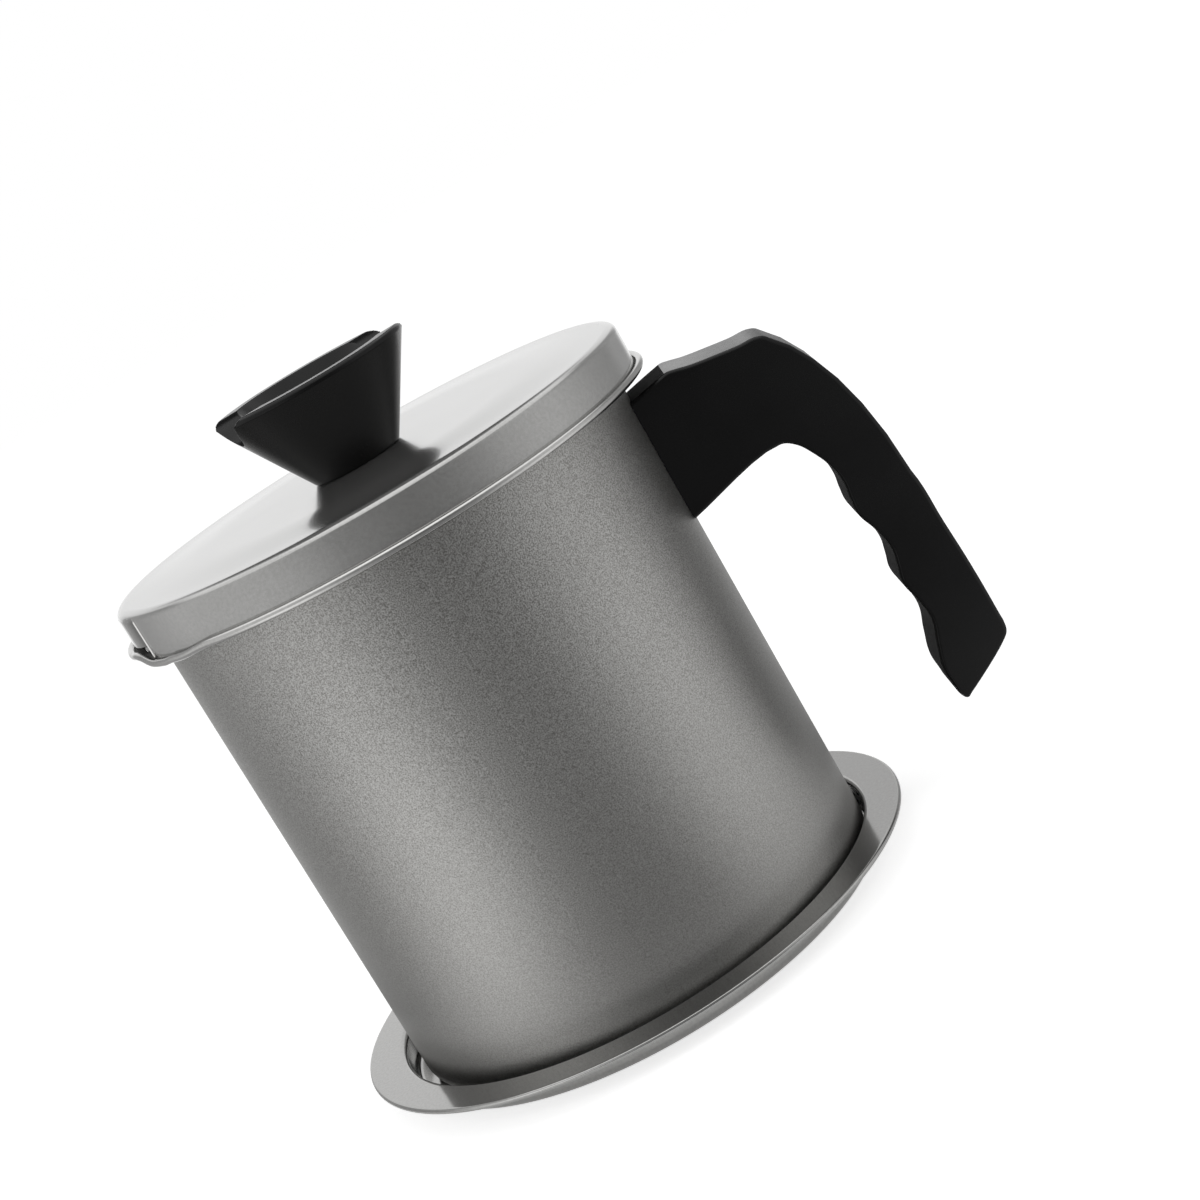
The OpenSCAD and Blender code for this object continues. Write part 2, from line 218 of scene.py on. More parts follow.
def addRange(owner, source, low, high, start=0.3, end=0.7):
    node = owner.node_tree.nodes.new("ShaderNodeMapRange")
    node.inputs["From Min"].default_value = start
    node.inputs["From Max"].default_value = end
    node.inputs["To Min"].default_value = low
    node.inputs["To Max"].default_value = high
    plug(owner, source, node.inputs["Value"])
    return node.outputs["Result"]


def addMath(owner, operation, *sources):
    node = owner.node_tree.nodes.new("ShaderNodeMath")
    node.operation = operation
    for source, socket in zip(sources, node.inputs):
        plug(owner, source, socket)
    return node.outputs["Value"]


def addMix(owner, share, first, second):
    node = owner.node_tree.nodes.new("ShaderNodeMix")
    node.data_type = "RGBA"
    plug(owner, share, node.inputs["Factor"])
    plug(owner, first, node.inputs[6])
    plug(owner, second, node.inputs[7])
    return node.outputs[2]


def addPlace(owner):
    return owner.node_tree.nodes.new("ShaderNodeTexCoord").outputs["Object"]


def addHeight(owner):
    node = owner.node_tree.nodes.new("ShaderNodeSeparateXYZ")
    plug(owner, addPlace(owner), node.inputs["Vector"])
    return node.outputs["Z"]


# Distance from the origin
def addReach(owner):
    node = owner.node_tree.nodes.new("ShaderNodeVectorMath")
    node.operation = "LENGTH"
    plug(owner, addPlace(owner), node.inputs[0])
    return node.outputs["Value"]


# Angle about the up axis as a share of a turn, a half in the direction that the given turn brings to +X
def addSweep(owner, turned):
    nodes = owner.node_tree.nodes
    mapping = nodes.new("ShaderNodeMapping")
    mapping.inputs["Rotation"].default_value = (0, 0, turned)
    sweep = nodes.new("ShaderNodeTexGradient")
    sweep.gradient_type = "RADIAL"
    plug(owner, addPlace(owner), mapping.inputs["Vector"])
    plug(owner, mapping.outputs["Vector"], sweep.inputs["Vector"])
    return sweep.outputs["Fac"]


# Angle away from that direction as a share of a turn, alike to both sides
def addAngle(owner, turned):
    return addMath(owner, "ABSOLUTE", addMath(owner, "SUBTRACT", addSweep(owner, turned), 0.5))


# Grey ramp with a value at each of its stops
def addRamp(owner, source, places, values):
    node = owner.node_tree.nodes.new("ShaderNodeValToRGB")
    stops = node.color_ramp.elements
    while len(stops) < len(places):
        stops.new(0.5)
    for stop, place in zip(stops, places):
        stop.position = place
    for stop, value in zip(stops, values):
        stop.color = (value, value, value, 1)
    plug(owner, source, node.inputs["Fac"])
    return node.outputs["Color"]


def addTwoColours(finish, source, first, second, start=0.35, end=0.65):
    node = finish.node_tree.nodes.new("ShaderNodeValToRGB")
    node.color_ramp.elements[0].position = start
    node.color_ramp.elements[0].color = (*first, 1)
    node.color_ramp.elements[1].position = end
    node.color_ramp.elements[1].color = (*second, 1)
    plug(finish, source, node.inputs["Fac"])
    return node.outputs["Color"]


def addGrain(finish, scale, detail, roughness=0.5, stretch=(1, 1, 1)):
    nodes = finish.node_tree.nodes
    mapping = nodes.new("ShaderNodeMapping")
    mapping.inputs["Scale"].default_value = stretch
    noise = nodes.new("ShaderNodeTexNoise")
    noise.inputs["Scale"].default_value = scale
    noise.inputs["Detail"].default_value = detail
    noise.inputs["Roughness"].default_value = roughness
    plug(finish, addPlace(finish), mapping.inputs["Vector"])
    plug(finish, mapping.outputs["Vector"], noise.inputs["Vector"])
    return noise.outputs["Fac"]


def addBump(finish, height, strength, distance):
    node = finish.node_tree.nodes.new("ShaderNodeBump")
    node.inputs["Strength"].default_value = strength
    node.inputs["Distance"].default_value = distance
    plug(finish, height, node.inputs["Height"])
    return node.outputs["Normal"]


# The output that feeds a socket
def feedOf(socket):
    return socket.links[0].from_socket


# Under its nodes a finish has a plain colour, metal and roughness. One grain (scale, detail, roughness,
# stretch) drives its tones, its roughness and its bump (strength, depth in mm). A cloud (scale, low, high),
# where there is one, makes the roughness uneven and can drive the tones
def makeFinish(name, settings):
    finish = bpy.data.materials.new(name)
    finish.use_nodes = True
    shader = finish.node_tree.nodes["Principled BSDF"]
    colour, metal, rough = settings["plain"]
    shader.inputs["Base Color"].default_value = (*colour, 1)
    shader.inputs["Metallic"].default_value = metal
    shader.inputs["Roughness"].default_value = rough
    for socket, value in settings.get("extra", {}).items():
        shader.inputs[socket].default_value = value
    grain = addGrain(finish, *settings["grain"])
    tones = grain
    roughness = addRange(finish, grain, *settings["rough"])
    if "cloud" in settings:
        scale, low, high = settings["cloud"]
        cloud = addGrain(finish, scale, 3)
        roughness = addMath(finish, "ADD", roughness, addRange(finish, cloud, low, high))
        if settings.get("cloudyTones"):
            tones = cloud
    strength, distance = settings["bump"]
    colours = addTwoColours(finish, tones, settings["dark"], settings["light"])
    plug(finish, colours, shader.inputs["Base Color"])
    plug(finish, roughness, shader.inputs["Roughness"])
    plug(finish, addBump(finish, grain, strength, distance * mm), shader.inputs["Normal"])
    return finish


# Sand-textured metallic coating of the pot
potCoatSettings = {
    "plain": ((0.335, 0.332, 0.322), 1.0, 0.4),
    "dark": (0.21, 0.206, 0.196),
    "light": (0.46, 0.457, 0.447),
    "rough": (0.35, 0.45),
    "grain": (3300, 3, 0.6),
    "cloud": (45, -0.02, 0.02),
    "bump": (0.3, 0.1),
    "contrastChange": (0.45, 1.2),
    "bumpChange": (0.3, 0.9),
    "changeHeights": (15, 95),
}
potCoat = makeFinish("potCoat", potCoatSettings)
shader = potCoat.node_tree.nodes["Principled BSDF"]
# The grain is coarser towards the rim: its contrast and its bump grow with height
height = addHeight(potCoat)
ends = [end * mm for end in potCoatSettings["changeHeights"]]
contrast = addRange(potCoat, height, *potCoatSettings["contrastChange"], *ends)
coarseness = addRange(potCoat, height, *potCoatSettings["bumpChange"], *ends)
ramp = feedOf(shader.inputs["Base Color"]).node
speckle = addRange(potCoat, feedOf(ramp.inputs["Fac"]), -0.5, 0.5, 0, 1)
speckle = addMath(potCoat, "MULTIPLY", speckle, contrast)
plug(potCoat, addRange(potCoat, speckle, 0, 1, -0.5, 0.5), ramp.inputs["Fac"])
plug(potCoat, coarseness, feedOf(shader.inputs["Normal"]).node.inputs["Strength"])

# On the rolled rim the same coating lies smooth; its colour is painted lighter than the pot's, a painted
# highlight for the light that the bead catches
rimCoatSettings = {
    "plain": ((0.48, 0.477, 0.467), 1.0, 0.16),
    "dark": (0.46, 0.457, 0.447),
    "light": (0.5, 0.497, 0.487),
    "rough": (0.13, 0.19),
    "grain": (1500, 2),
    "bump": (0.05, 0.05),
}
rimCoat = makeFinish("rimCoat", rimCoatSettings)

# Painted shade: a dark matt coat in the groove between the flange and the bead, and on the flange behind the
# spout, stands in for the shade that falls there
paintedGrooveShadeSettings = {
    "plain": ((0.17, 0.169, 0.165), 0.0, 0.85),
    "extra": {"Specular IOR Level": 0.05},
    "dark": (0.14, 0.139, 0.136),
    "light": (0.2, 0.199, 0.194),
    "rough": (0.8, 0.95),
    "grain": (1500, 3),
    "bump": (0.2, 0.06),
}
paintedGrooveShade = makeFinish("paintedGrooveShade", paintedGrooveShadeSettings)

# Smooth lacquered coating of the lid, with a fine metallic fleck
lidCoatSettings = {
    "plain": ((0.36, 0.358, 0.35), 0.74, 0.14),
    "extra": {"Coat Weight": 0.5, "Coat Roughness": 0.06},
    "dark": (0.345, 0.343, 0.335),
    "light": (0.378, 0.376, 0.368),
    "rough": (0.12, 0.16),
    "grain": (1500, 1.5),
    "cloud": (38, -0.015, 0.015),
    "bump": (0.025, 0.05),
    # Painted shade in the hollow of the creases: its colour, and its angles, shares and heights
    "paintedCreaseShade": (0.065, 0.064, 0.06, 1),
    "paintedCreaseShadeAngles": (21.5, 24, 27.2, 27.8),
    "paintedCreaseShadeShares": (0, 0.8, 1, 0),
    "paintedCreaseShadeHeights": (123.0, 124.8),
}
lidCoat = makeFinish("lidCoat", lidCoatSettings)
shader = lidCoat.node_tree.nodes["Principled BSDF"]
# Painted shade: the colour is darker in the hollow of the creases, by the angle from the spout, on the skirt
# alone
angles = [angle / 360 for angle in lidCoatSettings["paintedCreaseShadeAngles"]]
hollow = addRamp(lidCoat, addAngle(lidCoat, math.pi), angles, lidCoatSettings["paintedCreaseShadeShares"])
ends = [end * mm for end in lidCoatSettings["paintedCreaseShadeHeights"]]
paintedCreaseShade = addMath(lidCoat, "MULTIPLY", hollow, addRange(lidCoat, addHeight(lidCoat), 1, 0, *ends))
tones = addMix(lidCoat, paintedCreaseShade, feedOf(shader.inputs["Base Color"]), lidCoatSettings["paintedCreaseShade"])
plug(lidCoat, tones, shader.inputs["Base Color"])

# Painted highlight: a bright steel strip on the sharp ridge of each crease stands in for the highlight that
# the ridge catches
paintedRidgeHighlightSettings = {
    "plain": ((0.93, 0.925, 0.91), 1.0, 0.2),
    "dark": (0.9, 0.895, 0.88),
    "light": (0.96, 0.955, 0.94),
    "rough": (0.16, 0.24),
    "grain": (1800, 2),
    "bump": (0.04, 0.03),
}
paintedRidgeHighlight = makeFinish("paintedRidgeHighlight", paintedRidgeHighlightSettings)

# The tray has the lid's coating without the lacquer
trayCoatSettings = {
    "plain": ((0.388, 0.386, 0.378), 1.0, 0.12),
    "dark": (0.37, 0.368, 0.36),
    "light": (0.405, 0.403, 0.395),
    "rough": (0.1, 0.14),
    "grain": (1500, 1.5),
    "cloud": (40, -0.015, 0.02),
    "bump": (0.025, 0.05),
}
trayCoat = makeFinish("trayCoat", trayCoatSettings)

# Black moulded plastic with a fine eroded texture
mouldedSettings = {
    "plain": ((0.0038, 0.0038, 0.0039), 0.0, 0.3),
    "extra": {"Specular IOR Level": 0.19},
    "dark": (0.003, 0.003, 0.0031),
    "light": (0.0045, 0.0045, 0.0046),
    "rough": (0.21, 0.27),
    "grain": (2200, 2),
    "cloud": (55, -0.03, 0.03),
    "cloudyTones": True,
    "bump": (0.1, 0.06),
}
moulded = makeFinish("blackMoulding", mouldedSettings)

# The same plastic with a matt grip texture, on the inside of the handle
grippySettings = {
    "plain": ((0.0038, 0.0038, 0.0039), 0.0, 0.75),
    "extra": {"Specular IOR Level": 0.05},
    "dark": (0.003, 0.003, 0.0031),
    "light": (0.0045, 0.0045, 0.0046),
    "rough": (0.68, 0.82),
    "grain": (1600, 3),
    "bump": (0.2, 0.08),
}
grippy = makeFinish("grippyMoulding", grippySettings)

# Bare steel of the strainer, with drawn lines that run round it
stainlessSettings = {
    "plain": ((0.57, 0.56, 0.54), 1.0, 0.25),
    "dark": (0.52, 0.51, 0.49),
    "light": (0.62, 0.61, 0.59),
    "rough": (0.2, 0.3),
    "grain": (1400, 3, 0.5, (0.05, 0.05, 1)),
    "bump": (0.08, 0.03),
}
stainless = makeFinish("stainless", stainlessSettings)

# Zinc-plated steel of the screws, washers, nut and bracket
zincSettings = {
    "plain": ((0.51, 0.515, 0.52), 1.0, 0.35),
    "dark": (0.44, 0.45, 0.46),
    "light": (0.58, 0.585, 0.59),
    "rough": (0.28, 0.42),
    "grain": (420, 3),
    "bump": (0.1, 0.04),
}
zinc = makeFinish("zincPlate", zincSettings)

# Brass of the threaded insert
brassSettings = {
    "plain": ((0.62, 0.44, 0.18), 1.0, 0.3),
    "dark": (0.54, 0.38, 0.15),
    "light": (0.68, 0.49, 0.21),
    "rough": (0.22, 0.36),
    "grain": (1600, 2, 0.5, (0.05, 0.05, 1)),
    "bump": (0.1, 0.03),
}
brass = makeFinish("brass", brassSettings)

# Silicone of the seal under the knob's washer
siliconeSettings = {
    "plain": ((0.09, 0.09, 0.095), 0.0, 0.6),
    "dark": (0.08, 0.08, 0.085),
    "light": (0.105, 0.105, 0.11),
    "rough": (0.52, 0.68),
    "grain": (700, 3),
    "bump": (0.06, 0.05),
}
silicone = makeFinish("silicone", siliconeSettings)
print("finishes made")


# Pot: drawn can with a flange, a rolled bead and a spout that is pulled out of the rim
pot = {
    "radius": 55.8,
    "sheet": 0.8,
    "foot": 0.7,
    "footRound": 4.0,
    "footSteps": (45, 20, 0),
    "wallSteps": (6, 30, 60, 90, 110),
    "flangeLow": 114.9,
    "flangeSteps": (57.6, 58.8, 60),
    "neckRound": 1.5,
    "beadRadius": 61.6,
    "beadThick": 1.6,
    "beadHeight": 115.5,
    "beadArc": (228.6, 525.5),
    "steps": 360,
    "rimLow": 114,
    "rimStart": 57.2,
    "rimOutside": 60.6,
    "spoutHalf": 14,
    "spoutMove": (-0.45, 0, 0.4),
    "spoutFade": 12,
    "waves": ((36, 5, -0.8, 12), (32, 3, -0.3, 4), (21, 2, 0.35, 4)),
    "trough": (57.4, 60.3),
    "troughHalves": (24, 21, 18),
    "troughStep": 0.3,
    "smoothStart": (57.5, 113.5),
    # Where the painted shade goes: near the spout, and in the groove under the bead
    "spoutShade": (27, 58.6, 61.2),
    "paintedGrooveShade": (116, 60.2, 60.9),
}
inside = pot["radius"] - pot["sheet"]
flangeTop = pot["flangeLow"] + pot["sheet"]
neck = (inside + pot["neckRound"], flangeTop - pot["neckRound"])
footCorner = (pot["radius"] - pot["footRound"], pot["foot"] + pot["footRound"])
bead = (pot["beadRadius"], pot["beadHeight"])
potOutline = [(x, pot["foot"]) for x in reversed(pot["footSteps"])]
potOutline += arcPoints(footCorner, pot["footRound"], -90, 0, 8)
potOutline += [(pot["radius"], z) for z in pot["wallSteps"]]
potOutline += arcPoints(neck, pot["neckRound"] - pot["sheet"], 180, 90, 5)
potOutline += [(x, pot["flangeLow"]) for x in pot["flangeSteps"]]
potOutline += arcPoints(bead, pot["beadThick"] / 2, *pot["beadArc"], 20)
potOutline += [(x, flangeTop) for x in reversed(pot["flangeSteps"])]
potOutline += arcPoints(neck, pot["neckRound"], 90, 180, 7)
potOutline += [(inside, z) for z in reversed(pot["wallSteps"])]
potOutline += arcPoints(footCorner, pot["footRound"] - pot["sheet"], 0, -90, 7)
potOutline += [(x, pot["foot"] + pot["sheet"]) for x in pot["footSteps"]]
potShell = turnOnLathe("potShell", potOutline, pot["steps"])


# Moves the rim near an angle from the spout; the wall stays
def pullRim(angle, half, move, fade):
    def wall(x, y, z):
        return z < pot["rimLow"] or math.hypot(x, y) < pot["rimStart"]

    def rim(x, y, z):
        near = abs(spoutAngle(x, y) - angle) < half
        return near and z > pot["rimLow"] and math.hypot(x, y) > pot["rimOutside"]

    moveSoftly(potShell, wall, rim, move, fade)


pullRim(0, pot["spoutHalf"], pot["spoutMove"], pot["spoutFade"])
# Beside the spout the rim waves: at each angle, over a half width, it rises or sinks and fades out
for side in (-1, 1):
    for angle, half, rise, fade in pot["waves"]:
        pullRim(side * angle, half, (0, 0, rise), fade)


# The flange sinks into a trough behind the spout
def inTrough(x, y, z, half):
    near, far = pot["trough"]
    return near < math.hypot(x, y) < far and z > pot["rimLow"] and abs(spoutAngle(x, y)) < half


for half in pot["troughHalves"]:
    moveVertices(potShell, lambda x, y, z: inTrough(x, y, z, half), -pot["troughStep"])
for finish in (potCoat, rimCoat, paintedGrooveShade):
    potShell.data.materials.append(finish)
# The rim has the smooth, lighter coat from a reach and a height on, and the painted shade in the groove and
# near the spout
smoothReach, smoothHeight = pot["smoothStart"]
spoutHalf, spoutNear, spoutFar = pot["spoutShade"]
grooveHeight, grooveNear, grooveFar = pot["paintedGrooveShade"]
for face in potShell.data.polygons:
    place = face.center / mm
    reach = math.hypot(place.x, place.y)
    if place.z > smoothHeight and reach > smoothReach:
        nearSpout = abs(spoutAngle(place.x, place.y)) < spoutHalf and spoutNear < reach < spoutFar
        inGroove = grooveNear < reach < grooveFar and place.z < grooveHeight
        face.material_index = 2 if face.normal.z > 0 and (nearSpout or inGroove) else 1
smoothShading(potShell)
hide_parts("pot_body")
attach(potShell, "pot")
print("pot made:", len(potShell.data.polygons), "faces")


# Tray: flat floor, steep well and wide level rim, a little off the pot's axis
tray = {
    "shift": -0.95,
    "well": 58.6,
    "rim": 67.0,
    "height": 7.3,
    "sheet": 0.7,
    "corner": 2.0,
    "lip": 1.3,
    "floorSteps": (50, 25, 0),
    "rimSteps": (62, 66),
    "foldSteps": ((0.9, 0), (0.68, 0.1)),
    "edgeDepth": 1.15,
    "edgeRound": 0.5,
    "steps": 300,
}
trayFoot = (tray["well"] - tray["corner"], tray["corner"])
rimLow = tray["height"] - tray["sheet"]
lipIn = tray["lip"] - tray["sheet"]
trayLip = (tray["well"] + lipIn, rimLow - lipIn)
edge = tray["edgeRound"]
edgeLow = tray["height"] - tray["edgeDepth"]
trayOutline = [(x, 0) for x in reversed(tray["floorSteps"])]
trayOutline += arcPoints(trayFoot, tray["corner"], -90, 0, 8)
trayOutline += arcPoints(trayLip, lipIn, 180, 90, 5)
trayOutline += [(tray["rimSteps"][0], rimLow)]
trayOutline += [(tray["rim"] - back, rimLow - drop) for back, drop in tray["foldSteps"]]
trayOutline += arcPoints((tray["rim"] - edge, edgeLow + edge), edge, -170, 0, 7)
trayOutline += arcPoints((tray["rim"] - edge, tray["height"] - edge), edge, 0, 90, 4)
trayOutline += [(x, tray["height"]) for x in reversed(tray["rimSteps"])]
trayOutline += arcPoints(trayLip, tray["lip"], 90, 180, 8)
trayOutline += arcPoints(trayFoot, tray["corner"] - tray["sheet"], 0, -90, 6)
trayOutline += [(x, tray["sheet"]) for x in tray["floorSteps"]]
trayDish = turnOnLathe("trayDish", trayOutline, tray["steps"], axisX=tray["shift"])
trayDish.data.materials.append(trayCoat)
smoothShading(trayDish)
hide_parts("drip_tray")
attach(trayDish, "tray")
print("tray made:", len(trayDish.data.polygons), "faces")


# Lid: gently raised top, rounded edge, and a skirt with a crease at each side of its pouring window
lid = {
    "radius": 60.55,
    "sheet": 0.7,
    "low": 115.7,
    "lowRound": 0.2,
    "edge": 125.2,
    "crown": 0.7,
    "crownSteps": 12,
    "flat": 36.0,
    "flatSteps": (24, 10),
    "shoulder": 4.3,
    "corner": 1.4,
    "turn": 64,
    "hole": 2.6,
    "skirtSteps": (122.4, 121.2, 120, 119, 118.4),
    "skirtStart": 58,
    "windowHalf": 27.6,
    "windowHeight": 1.6,
    "windowTop": 118.2,
    "windowSteps": ((0, 0.55), (0.6, 0.45)),
    "pushSteps": ((0.1, 0.6), (0.7, 0.4)),
    "creaseStart": 29.5,
    "creaseHalf": 0.24,
    "bulgeHalf": 18.2,
    "bulge": 0.28,
    "ridge": 28.5,
    "ridgeHalf": 0.2,
    "ridgeTop": 124.5,
    "ridgeTurn": 0.18,
    # Where the painted highlight lies on each ridge: its angles, heights and reach
    "ridgeHighlightAngles": (28, 28.5),
    "ridgeHighlightHeights": (116.5, 123.9),
    "ridgeHighlightStart": 60.2,
    "dipAngle": 32.5,
    "dipHalf": 4.3,
    "dip": -1.05,
    "dipFade": 12,
    "dipTop": 117,
    "dipFree": 117.2,
    "dipStart": 28,
    "steps": 720,
}
# The edge turns over in two arcs: a wide shoulder, then a tighter corner
turnOver = math.radians(lid["turn"])
arcChange = lid["shoulder"] - lid["corner"]
lidCorner = (lid["radius"] - lid["corner"], lid["edge"] - lid["shoulder"] + arcChange * math.sin(turnOver))
lidShoulder = (lidCorner[0] - arcChange * math.cos(turnOver), lid["edge"] - lid["shoulder"])
crown = []
for i in range(1, lid["crownSteps"]):
    share = i / lid["crownSteps"]
    reach = lid["flat"] + (lidShoulder[0] - lid["flat"]) * share
    crown.append((reach, lid["edge"] + lid["crown"] * (0.5 + 0.5 * math.cos(math.pi * share))))
edge = lid["lowRound"]
skirtIn = lid["radius"] - lid["sheet"]
lidTop = lid["edge"] + lid["crown"]
lidOutline = [(x, lidTop) for x in (lid["hole"], *reversed(lid["flatSteps"]), lid["flat"])]
lidOutline += crown
lidOutline += arcPoints(lidShoulder, lid["shoulder"], 90, lid["turn"], 5)
lidOutline += arcPoints(lidCorner, lid["corner"], lid["turn"], 0, 8)[1:]
lidOutline += [(lid["radius"], z) for z in lid["skirtSteps"]]
lidOutline += arcPoints((lid["radius"] - edge, lid["low"] + edge), edge, 0, -90, 3)
lidOutline += arcPoints((skirtIn + edge, lid["low"] + edge), edge, -90, -180, 3)
lidOutline += [(skirtIn, z) for z in reversed(lid["skirtSteps"])]
lidOutline += arcPoints(lidCorner, lid["corner"] - lid["sheet"], 0, lid["turn"], 5)
lidOutline += arcPoints(lidShoulder, lid["shoulder"] - lid["sheet"], lid["turn"], 90, 4)[1:]
lidOutline += [(x, z - lid["sheet"]) for x, z in reversed(crown)]
lidOutline += [(x, lidTop - lid["sheet"]) for x in (lid["flat"], *lid["flatSteps"], lid["hole"])]
lidOutline += [(lid["hole"], lidTop)]
lidCover = turnOnLathe("lidCover", lidOutline, lid["steps"])


# The window: the skirt's foot is lifted over the spout, over two steps of the lathe at each end
def underWindow(x, y, z, half):
    return z < lid["windowTop"] and abs(spoutAngle(x, y)) < half


for inset, share in lid["windowSteps"]:
    half = lid["windowHalf"] - inset
    moveVertices(lidCover, lambda x, y, z: underWindow(x, y, z, half), share * lid["windowHeight"])


def onSkirt(x, y, z, top):
    return z < top and math.hypot(x, y) > lid["skirtStart"]


# Pushes the skirt in where the angle passes the test, in two steps that reach up into the corner
def pushSkirt(depth, test):
    for rise, share in lid["pushSteps"]:
        top = lidCorner[1] + rise
        factor = 1 - share * depth / lid["radius"]
        scaleAcross(lidCover, lambda x, y, z: onSkirt(x, y, z, top) and test(x, y), factor)


# The crease at each side of the window, as depths at every half degree from its start towards the spout: a
# sharp ridge, a steep step, a hollow that comes back up, and the start of a slight bulge over the spout
creaseDepths = (
    0.04, 0.07, 0.07, -0.12, 0.4, 0.75, 0.95, 0.86, 0.77, 0.67, 0.58, 0.48,
    0.38, 0.28, 0.17, 0.07, -0.02, -0.09, -0.15, -0.2, -0.23, -0.25, -0.27,
)
for i, depth in enumerate(creaseDepths):
    angle = lid["creaseStart"] - i / 2
    pushSkirt(depth, lambda x, y: abs(abs(spoutAngle(x, y)) - angle) < lid["creaseHalf"])


# The outer foot of the ridge is drawn close to it, so that the ridge is narrow
def onRidge(x, y, z, side):
    near = abs(side * spoutAngle(x, y) - lid["ridge"]) < lid["ridgeHalf"]
    return near and onSkirt(x, y, z, lid["ridgeTop"])


for side in (-1, 1):
    pickVertices(lidCover, lambda x, y, z: onRidge(x, y, z, side))
    turned = -math.radians(lid["ridgeTurn"] * side)
    bpy.ops.transform.rotate(value=turned, orient_axis="Z", center_override=(0, 0, 0))
    leaveEdit()
pushSkirt(-lid["bulge"], lambda x, y: abs(spoutAngle(x, y)) < lid["bulgeHalf"])


# The skirt's foot follows the dip of the rim beside the window
def beyondDip(x, y, z, side):
    return z > lid["dipFree"] or side * spoutAngle(x, y) < lid["dipStart"]


def inDip(x, y, z, side):
    return z < lid["dipTop"] and abs(side * spoutAngle(x, y) - lid["dipAngle"]) < lid["dipHalf"]


for side in (-1, 1):
    moveSoftly(
        lidCover,
        lambda x, y, z: beyondDip(x, y, z, side),
        lambda x, y, z: inDip(x, y, z, side),
        (0, 0, lid["dip"]),
        lid["dipFade"],
    )
lidCover.data.materials.append(lidCoat)
lidCover.data.materials.append(paintedRidgeHighlight)
# The ridge faces get the painted highlight
highlightFrom, highlightTo = lid["ridgeHighlightAngles"]
highlightLow, highlightHigh = lid["ridgeHighlightHeights"]
for face in lidCover.data.polygons:
    place = face.center / mm
    isRidge = highlightFrom < abs(spoutAngle(place.x, place.y)) < highlightTo
    if isRidge and highlightLow < place.z < highlightHigh and math.hypot(place.x, place.y) > lid["ridgeHighlightStart"]:
        face.material_index = 1
smoothShading(lidCover)
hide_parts("lid_shell")
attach(lidCover, "lid")
print("lid made:", len(lidCover.data.polygons), "faces")


# Knob: flared cup, a little off the lid's axis, with a socket in its foot and a dip cut across its lip
knob = {
    "shift": -0.75,
    "base": 125.9,
    "height": 21.6,
    "foot": 10.1,
    "footStep": 5,
    "footEdge": ((-0.4, 0), (0.15, 0.25)),
    "lip": 23.2,
    "wall": 5.6,
    "cup": 11.0,
    "cupRound": 1.2,
    "outerRound": 1.0,
    "innerRound": 0.6,
    "dipHalf": 11.5,
    "dipDepth": 6.2,
    "dipSteps": 32,
    "dipGap": 0.02,
    "cutterHalf": 14,
    "cutterRise": 6,
    "cutterLength": 60,
    "socket": 4.05,
    "socketDepth": 8.3,
    "turn": 21,
    "steps": 180,
    "soften": 0.3,
    "sharpAngle": 45,
    "smoothAngle": 35,
}
slope = (knob["lip"] - knob["foot"]) / knob["height"]
tilt = math.degrees(math.atan(slope))
lipIn = knob["lip"] - knob["wall"]
outer = knob["outerRound"]
inner = knob["innerRound"]
cupFloor = knob["height"] - knob["cup"]
cupRadius = lipIn - slope * knob["cup"]
cupCorner = (cupRadius - knob["cupRound"], cupFloor + knob["cupRound"])
knobOutline = [(0, 0), (knob["footStep"], 0)]
knobOutline += [(knob["foot"] + out, rise) for out, rise in knob["footEdge"]]
knobOutline += arcPoints((knob["lip"] - outer * (1 + slope), knob["height"] - outer), outer, -tilt, 90, 8)
knobOutline += arcPoints((lipIn + inner, knob["height"] - inner), inner, 90, 180 - tilt, 6)
knobOutline += arcPoints(cupCorner, knob["cupRound"], -tilt, -90, 4)
knobOutline += [(0, cupFloor)]
knobOutline = [(x, z + knob["base"]) for x, z in knobOutline]
knobCup = turnOnLathe("knobCup", knobOutline, knob["steps"], axisX=knob["shift"])

# The dip is a smooth wave in section, drawn point by point, filled and drawn out along the knob
side, rise = knob["cutterHalf"], knob["cutterRise"]
waveOutline = [(-side, rise), (-side, 0)]
for i in range(knob["dipSteps"] + 1):
    share = -1 + 2 * i / knob["dipSteps"]
    depth = knob["dipDepth"] * (0.5 + 0.5 * math.cos(math.pi * share))
    waveOutline.append((share * knob["dipHalf"], knob["dipGap"] - depth))
waveOutline += [(side, 0), (side, rise)]
lipHeight = knob["base"] + knob["height"]
waveOutline = [(x, z + lipHeight) for x, z in waveOutline]
dipCutter = drawOutline("dipCutter", waveOutline)
bpy.ops.mesh.edge_face_add()
bpy.ops.mesh.extrude_region_move(TRANSFORM_OT_translate={"value": (0, knob["cutterLength"] * mm, 0)})
bpy.ops.mesh.select_all(action="SELECT")
bpy.ops.transform.translate(value=(0, -knob["cutterLength"] / 2 * mm, 0))
bpy.ops.mesh.normals_make_consistent(inside=False)
turned = -math.radians(90 + knob["turn"])
bpy.ops.transform.rotate(value=turned, orient_axis="Z", center_override=(0, 0, 0))
bpy.ops.transform.translate(value=(knob["shift"] * mm, 0, 0))
leaveEdit()
cutWith(knobCup, dipCutter)
cutBar(knobCup, 64, knob["socket"], 2 * knob["socketDepth"], knob["base"])
pickOnly(knobCup)
modifier = knobCup.modifiers.new("soften", "BEVEL")
modifier.width = knob["soften"] * mm
modifier.segments = 3
modifier.use_clamp_overlap = False
modifier.limit_method = "ANGLE"
modifier.angle_limit = math.radians(knob["sharpAngle"])
bpy.ops.object.modifier_apply(modifier=modifier.name)
knobCup.data.materials.append(moulded)
smoothShading(knobCup, knob["smoothAngle"])
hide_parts("lid_knob")
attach(knobCup, "lid")
print("knob made:", len(knobCup.data.polygons), "faces")


